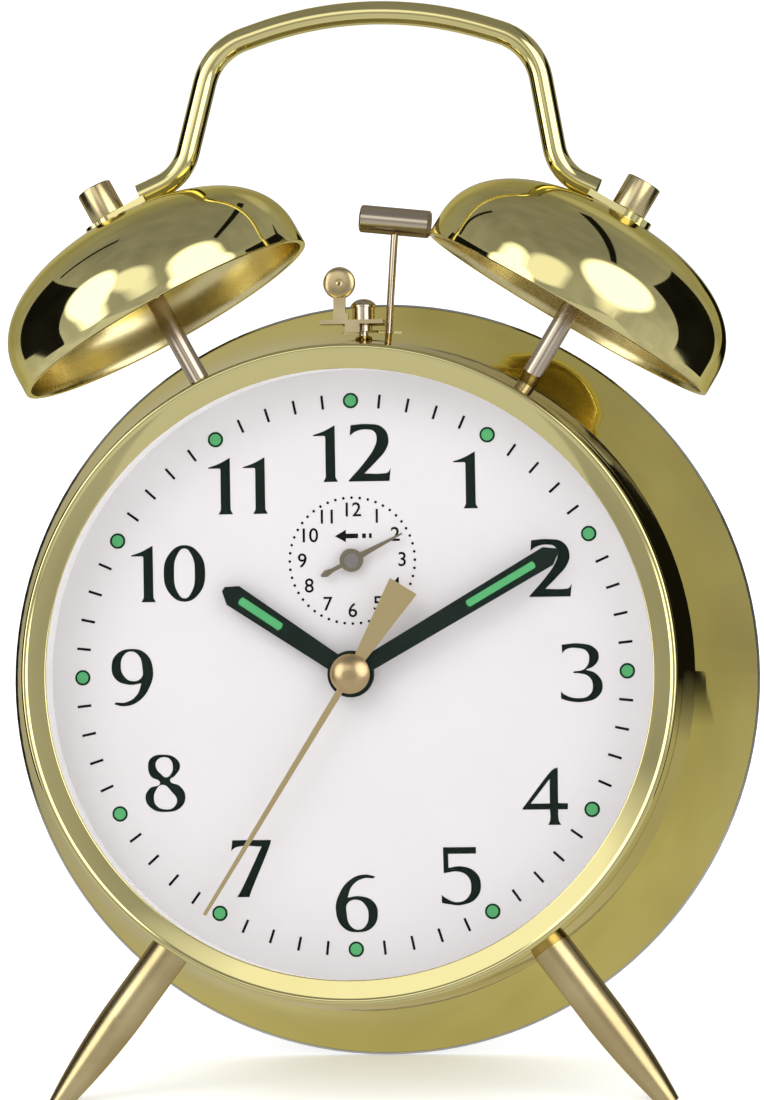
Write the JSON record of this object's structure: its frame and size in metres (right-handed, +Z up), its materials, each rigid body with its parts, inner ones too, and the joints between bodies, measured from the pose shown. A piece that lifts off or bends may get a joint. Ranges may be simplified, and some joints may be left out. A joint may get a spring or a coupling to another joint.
{
  "type": "alarm clock",
  "caption": "Key-wound alarm clock with two bells and a hammer on top, carry handle, round case on two splayed feet, printed dial with alarm sub-dial, and a geared movement inside.",
  "frame": {"origin": "on the surface that the clock stands on, under the middle of its bounding box", "axes": "+X to the right of the dial as the viewer sees it, +Y from the dial to the back cover, +Z up; the clock leans back 7.9 degrees in this frame"},
  "size_m": [0.115, 0.0676, 0.1603],
  "materials": {
    "polished_brass": "polished, light gold",
    "satin_brass": "satin",
    "movement_brass": "brushed",
    "polished_steel": "polished",
    "steel": "brushed",
    "spring_steel": "blued",
    "cover_steel": "satin nickel plate",
    "dial_paint": "satin, printed",
    "hand_paint": "gloss, dark green-black",
    "spacer_paint": "satin",
    "alarm_hand_metal": "satin",
    "glass": "clear"
  },
  "bodies": {
    "clock": {"alarm_mainspring": "spring_steel", "back_cover": "cover_steel", "back_screws": "steel", "back_standoffs": "steel", "bell_left": "polished_brass", "bell_nut_left": "polished_brass", "bell_nut_right": "polished_brass", "bell_post_left": "polished_steel", "bell_post_right": "polished_steel", "bell_right": "polished_brass", "bezel_ring": "polished_brass", "carry_handle": "polished_brass", "case_shell": "polished_brass", "dial_pillars": "movement_brass", "dial_plate": "dial_paint", "dial_ring": "spacer_paint", "foot_left": "satin_brass", "foot_nuts": "steel", "foot_right": "satin_brass", "front_plate": "movement_brass", "glass_lens": "glass", "hairspring": "spring_steel", "pillar_nuts": "steel", "plate_pillars": "steel", "post_nuts": "steel", "rear_plate": "movement_brass", "regulator_stud": "steel", "stop_lever_rivet": "polished_steel", "time_mainspring": "spring_steel"},
    "minute_hand": {"minute_hand": "hand_paint", "cannon_pinion": "movement_brass"},
    "centre_wheel": {"centre_wheel": "movement_brass"},
    "hour_hand": {"hour_hand": "hand_paint", "hour_wheel": "movement_brass"},
    "second_hand": {"second_hand": "hand_paint", "hand_cap": "polished_brass", "fourth_wheel": "movement_brass"},
    "third_wheel": {"third_wheel": "movement_brass"},
    "escape_wheel": {"escape_wheel": "movement_brass"},
    "great_wheel": {"great_wheel": "movement_brass"},
    "alarm_wheel": {"alarm_wheel": "movement_brass"},
    "hand_setting": {"minute_wheel": "movement_brass", "hand_setting_arbor": "steel", "hand_setting_knob": "satin_brass"},
    "alarm_setting": {"alarm_hand": "alarm_hand_metal", "alarm_arbor": "steel", "alarm_setting_knob": "satin_brass"},
    "time_winding": {"time_winding_arbor": "steel", "time_key": "satin_brass"},
    "alarm_winding": {"alarm_winding_arbor": "steel", "alarm_key": "satin_brass"},
    "alarm_great_wheel": {"alarm_great_wheel": "movement_brass"},
    "alarm_escape_wheel": {"alarm_escape_wheel": "movement_brass"},
    "hammer": {"hammer_head": "polished_steel", "hammer_wire": "polished_steel", "hammer_arbor": "steel"},
    "pallet_lever": {"pallet_lever": "steel"},
    "balance": {"balance_wheel": "movement_brass"},
    "stop_lever": {"stop_lever": "polished_brass"},
    "regulator": {"regulator_lever": "steel"}
  },
  "joints": [
    {"name": "minute_hand_turn", "type": "hinge", "parent": "clock", "child": "minute_hand", "pos_m": [0, -0.01939, 0.0624], "axis": [0, 0.9905, -0.1372], "continuous": true},
    {"name": "centre_wheel_turn", "type": "hinge", "parent": "clock", "child": "centre_wheel", "pos_m": [0, -0.00988, 0.06108], "axis": [0, 0.9905, -0.1372], "continuous": true},
    {"name": "hour_hand_turn", "type": "hinge", "parent": "clock", "child": "hour_hand", "pos_m": [0, -0.01939, 0.0624], "axis": [0, 0.9905, -0.1372], "continuous": true},
    {"name": "second_hand_turn", "type": "hinge", "parent": "clock", "child": "second_hand", "pos_m": [0, -0.01939, 0.0624], "axis": [0, 0.9905, -0.1372], "continuous": true},
    {"name": "third_wheel_turn", "type": "hinge", "parent": "clock", "child": "third_wheel", "pos_m": [0.00213, -0.01114, 0.04908], "axis": [0, 0.9905, -0.1372], "continuous": true},
    {"name": "escape_wheel_turn", "type": "hinge", "parent": "clock", "child": "escape_wheel", "pos_m": [0.0115, -0.00412, 0.05605], "axis": [0, 0.9905, -0.1372], "continuous": true},
    {"name": "great_wheel_turn", "type": "hinge", "parent": "clock", "child": "great_wheel", "pos_m": [-0.01204, -0.01332, 0.05304], "axis": [0, 0.9905, -0.1372], "continuous": true},
    {"name": "alarm_wheel_turn", "type": "hinge", "parent": "clock", "child": "alarm_wheel", "pos_m": [0, -0.01543, 0.07861], "axis": [0, 0.9905, -0.1372], "continuous": true},
    {"name": "hand_setting_turn", "type": "hinge", "parent": "clock", "child": "hand_setting", "pos_m": [-0.01078, 0.01118, 0.06445], "axis": [0, 0.9905, -0.1372], "continuous": true},
    {"name": "alarm_setting_turn", "type": "hinge", "parent": "clock", "child": "alarm_setting", "pos_m": [0, -0.01712, 0.07884], "axis": [0, 0.9905, -0.1372], "continuous": true},
    {"name": "time_winding_turn", "type": "hinge", "parent": "clock", "child": "time_winding", "pos_m": [-0.01204, 0.00917, 0.04993], "axis": [0, 0.9905, -0.1372], "range_deg": [-1980, 0]},
    {"name": "alarm_winding_turn", "type": "hinge", "parent": "clock", "child": "alarm_winding", "pos_m": [0.021, 0.01156, 0.0672], "axis": [0, 0.9905, -0.1372], "range_deg": [-1980, 0]},
    {"name": "alarm_great_wheel_turn", "type": "hinge", "parent": "clock", "child": "alarm_great_wheel", "pos_m": [0.021, -0.01093, 0.07031], "axis": [0, 0.9905, -0.1372], "continuous": true},
    {"name": "alarm_escape_wheel_turn", "type": "hinge", "parent": "clock", "child": "alarm_escape_wheel", "pos_m": [0.00928, -0.0069, 0.07968], "axis": [0, 0.9905, -0.1372], "continuous": true},
    {"name": "hammer_swing", "type": "hinge", "parent": "clock", "child": "hammer", "pos_m": [0.0015, 0.00175, 0.08168], "axis": [0, -0.9905, 0.1372], "range_deg": [0, 10.2]},
    {"name": "pallet_rock", "type": "hinge", "parent": "clock", "child": "pallet_lever", "pos_m": [0.015, -0.00297, 0.04978], "axis": [0, 0.9905, -0.1372], "range_deg": [-3, 3]},
    {"name": "balance_swing", "type": "hinge", "parent": "clock", "child": "balance", "pos_m": [0.0135, -0.00031, 0.03983], "axis": [0, 0.9905, -0.1372], "range_deg": [-150, 150], "stiffness_Nm_per_rad": 0.000013},
    {"name": "stop_lever_turn", "type": "hinge", "parent": "clock", "child": "stop_lever", "pos_m": [0.0003, 0.00262, 0.11487], "axis": [0, 0.1372, 0.9905], "range_deg": [-35, 0]},
    {"name": "regulator_turn", "type": "hinge", "parent": "clock", "child": "regulator", "pos_m": [0.0135, 0.00563, 0.03901], "axis": [0, 0.9905, -0.1372], "range_deg": [-18, 18]}
  ],
  "couplings": [
    {"joint": "hour_hand_turn", "follows": "minute_hand_turn", "ratio": 0.083333},
    {"joint": "hand_setting_turn", "follows": "minute_hand_turn", "ratio": -0.16667},
    {"joint": "alarm_wheel_turn", "follows": "minute_hand_turn", "ratio": -0.083333},
    {"joint": "escape_wheel_turn", "follows": "second_hand_turn", "ratio": -8},
    {"joint": "third_wheel_turn", "follows": "second_hand_turn", "ratio": -0.13333},
    {"joint": "centre_wheel_turn", "follows": "second_hand_turn", "ratio": 0.016667},
    {"joint": "great_wheel_turn", "follows": "second_hand_turn", "ratio": -0.0027778},
    {"joint": "alarm_escape_wheel_turn", "follows": "alarm_great_wheel_turn", "ratio": -7.5}
  ]
}
